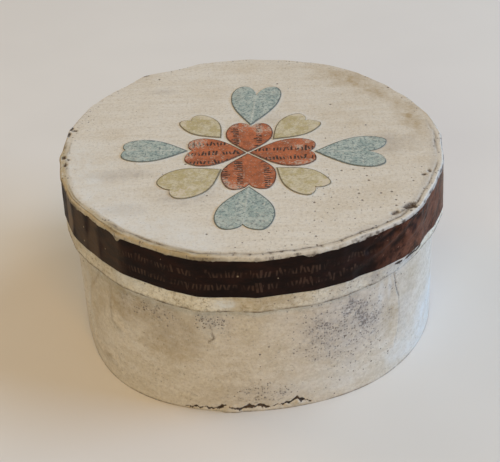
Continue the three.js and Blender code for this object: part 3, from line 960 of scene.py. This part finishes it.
def heart_corners(node):
    """The corners of a heart's upper face, seen from above, in order round their middle."""
    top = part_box(node)[1].z
    upper = [v.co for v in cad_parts[node].data.vertices if v.co.z > top - 0.05 * MM]
    corners = np.array(sorted({(round(co.x / MM, 3), round(co.y / MM, 3)) for co in upper}))
    middle = corners.mean(axis=0)
    turn = np.arctan2(corners[:, 1] - middle[1], corners[:, 0] - middle[0])
    return corners[np.argsort(turn)], middle


def smooth_outline(corners):
    """A finer outline through the corners, which stays sharp at its point and its cleft, and those two."""
    ahead = np.roll(corners, -1, axis=0) - corners
    behind = corners - np.roll(corners, 1, axis=0)
    bend = (unit(ahead) * unit(behind)).sum(axis=1)
    sharp = np.zeros(len(corners), bool)
    sharp[np.argsort(bend)[:2]] = True
    slope = unit(ahead + behind)
    share = np.arange(OUTLINE_PARTS)[:, None] / OUTLINE_PARTS
    points = []
    for i, run in enumerate(ahead):
        j = (i + 1) % len(corners)
        start = run if sharp[i] else slope[i] * np.linalg.norm(run)
        end = run if sharp[j] else slope[j] * np.linalg.norm(run)
        places = (2 * share**3 - 3 * share**2 + 1) * corners[i] + (3 * share**2 - 2 * share**3) * corners[j]
        slopes = (share**3 - 2 * share**2 + share) * start + (share**3 - share**2) * end
        points.append(places + slopes)
    return np.concatenate(points), corners[sharp]


def make_heart(node, material):
    corners, middle = heart_corners(node)
    outline, ends = smooth_outline(corners)
    base, top = heights_of(node)
    count = len(outline)
    size = np.linalg.norm(outline - middle, axis=1).mean()
    insets = HEART_INSETS[HEART_INSETS < size - 0.8][:, None]
    flat = middle + (outline - middle) * (1 - insets[..., None] / size)
    height = top - np.where(insets == 0, 0.08, 0.0) + np.zeros(flat.shape[:2])
    upper = np.concatenate([flat, height[..., None]], axis=-1)
    x, y = upper[..., 0], upper[..., 1]
    fold = hump(distance_to_path(x, y, ends), 0.3)
    upper[..., 2] += 0.03 * cloud(upper, 2.5) * (insets > 0.2) + 0.03 * fold
    lower = np.concatenate([outline, np.full((count, 1), base)], axis=-1)[None]
    rings = np.concatenate([lower, upper])

    point = max(ends, key=lambda end: np.linalg.norm(end - middle))
    from_point = np.linalg.norm(rings[..., :2] - point, axis=-1)
    worn = smooth_share(from_point / from_point.max() + 0.4 * cloud(rings, 3), 0.65, 1.1)
    # The edge field is painted shade on the heart's side and round the rim of its top, paling to the cut
    # line at the very top
    edge = np.clip(1 - insets / 0.7, 0, 1) * np.ones(count)
    fields = {
        "edge": np.append(np.concatenate([np.full((1, count), 0.7), edge]), [1, 0]),
        "worn": np.append(worn, [0, 0]),
        "fold": np.append(np.concatenate([np.zeros((1, count)), fold]), [0, 0]),
    }
    below, above = len(rings) * count, len(rings) * count + 1
    vertices = np.concatenate([rings.reshape(-1, 3), [[*middle, base], [*middle, top]]])
    faces = loop_faces(len(rings), count)
    faces += cap_faces(0, count, below, upwards=False)
    faces += cap_faces(len(rings) - 1, count, above, upwards=True)
    make_piece(node + "_paper", vertices, faces, fields, material, node)


def make_rosette():
    orange = {"light": "#b3653e", "dark": "#925231", "fleck": "#6e3d25", "fleck_share": 0.6,
              "outline_shade": "#472a1e", "worn": 0.5, "fold": 0.0}
    blue = {"light": "#adb8b3", "dark": "#92a29f", "fleck": "#53676e", "fleck_share": 0.9,
            "outline_shade": "#434d4d", "worn": 0.15, "fold": 0.35}
    yellow = {"light": "#c3bca4", "dark": "#afa47d", "fleck": "#877a58", "fleck_share": 0.6,
              "outline_shade": "#585140", "worn": 0.8, "fold": 0.0}
    paints = {
        "heart_orange_left": heart_paint("orange_left_paint", **orange, print_rows=(0.7, -5.1, -10.2)),
        "heart_orange_right": heart_paint("orange_right_paint", **orange, print_rows=(-4.0, -9.4)),
        "heart_orange_back": heart_paint("orange_back_paint", **orange, print_turn=90,
                                         print_rows=(-2.9, 4.4)),
        "heart_orange_front": heart_paint("orange_front_paint", **orange, print_turn=90,
                                          print_rows=(8.2, 3.6, -4.6)),
        "blue": heart_paint("blue_paint", **blue),
        "yellow": heart_paint("yellow_paint", **yellow),
    }
    for node in heart_nodes():
        paper = node.split("_")[1]
        make_heart(node, paints.get(node) or paints[paper])


def paint_bottom():
    """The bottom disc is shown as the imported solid, with a board's look."""
    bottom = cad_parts["box_bottom"]
    bottom.data.materials.clear()
    bottom.data.materials.append(board_paint("board_paint"))


# The surroundings

# A lamp: its direction from the box in degrees, its size in metres and its light in watts of each colour
Lamp = namedtuple("Lamp", "name turn rise size color")
LAMP_DISTANCE = 1.7
LIT_POINT = Vector((0, 0, 0.03))

# Daylight from a wide low window at the right, the sky above it, and warmer light from the room
LAMPS = [
    Lamp("window", -4, 18, (1.0, 0.45), (7.5, 13.4, 21.8)),
    Lamp("window_sky", 12, 55, (1.0, 0.5), (4.8, 6.3, 7.3)),
    Lamp("room_front", -75, 50, (0.5, 0.5), (5.6, 2.6, 0.2)),
    Lamp("room_front_left", -110, 25, (0.5, 0.5), (4.1, 4.2, 2.9)),
    Lamp("room_back_left", 152, 42, (0.6, 0.6), (3.8, 2.5, 1.3)),
]
ROOM_COLOR = (1.0, 0.9, 0.75, 1)
ROOM_STRENGTH = 0.4

# The pale floor reaches this far, in metres, and lies this far below the box, in millimetres
FLOOR_REACH = 3.0
FLOOR_DROP = 0.05

# The photograph's viewpoint, found by a perspective fit to the box, in metres
CAMERA_PLACE = (-0.00128, -0.31333, 0.24519)
CAMERA_RIGHT = Vector((0.9990, -0.0250, -0.0359))
CAMERA_UP = Vector((0.0438, 0.5714, 0.8195))
CAMERA_LENS = 82.8


def add_lamp(lamp):
    data = bpy.data.lights.new(lamp.name, "AREA")
    data.shape = "RECTANGLE"
    data.size, data.size_y = lamp.size
    data.energy = max(lamp.color)
    data.color = [part / max(lamp.color) for part in lamp.color]
    turn, rise = math.radians(lamp.turn), math.radians(lamp.rise)
    towards = Vector((math.cos(turn) * math.cos(rise), math.sin(turn) * math.cos(rise), math.sin(rise)))
    source = add_object(lamp.name, data)
    source.location = LIT_POINT + towards * LAMP_DISTANCE
    source.rotation_euler = (-towards).to_track_quat("-Z", "Y").to_euler()


def make_lights():
    world = bpy.data.worlds.new("room")
    world.use_nodes = True
    background = world.node_tree.nodes["Background"]
    background.inputs["Color"].default_value = ROOM_COLOR
    background.inputs["Strength"].default_value = ROOM_STRENGTH
    bpy.context.scene.world = world
    for lamp in LAMPS:
        add_lamp(lamp)
    bpy.context.scene.view_settings.view_transform = "Standard"


def make_stage():
    mesh = bpy.data.meshes.new("floor")
    corners = [(-1, -1), (1, -1), (1, 1), (-1, 1)]
    mesh.from_pydata([(FLOOR_REACH * x, FLOOR_REACH * y, 0) for x, y in corners], [], [(0, 1, 2, 3)])
    look = Look("floor_paint")
    tone = look.noise(60, detail=2)
    color = look.mix(look.between(tone, 0.3, 0.7), "#dbdad9", "#d8d7d6")
    roughness = look.between(tone, 0.3, 0.7, 0.75, 0.85)
    mesh.materials.append(look.finish(color, roughness, look.bump(tone, 0.02)))
    floor = add_object("floor", mesh)
    floor.location.z = -FLOOR_DROP * MM


def make_camera():
    backwards = CAMERA_RIGHT.cross(CAMERA_UP)
    axes = Matrix((CAMERA_RIGHT, CAMERA_UP, backwards)).transposed()
    data = bpy.data.cameras.new("camera")
    data.sensor_width = 36
    data.lens = CAMERA_LENS
    data.clip_start = 0.01
    camera = add_object("camera", data)
    camera.matrix_world = Matrix.Translation(CAMERA_PLACE) @ axes.to_4x4()
    bpy.context.scene.camera = camera


make_camera()
make_lights()
make_stage()
make_wall()
make_rim()
make_band()
make_lid_top()
make_rosette()
paint_bottom()
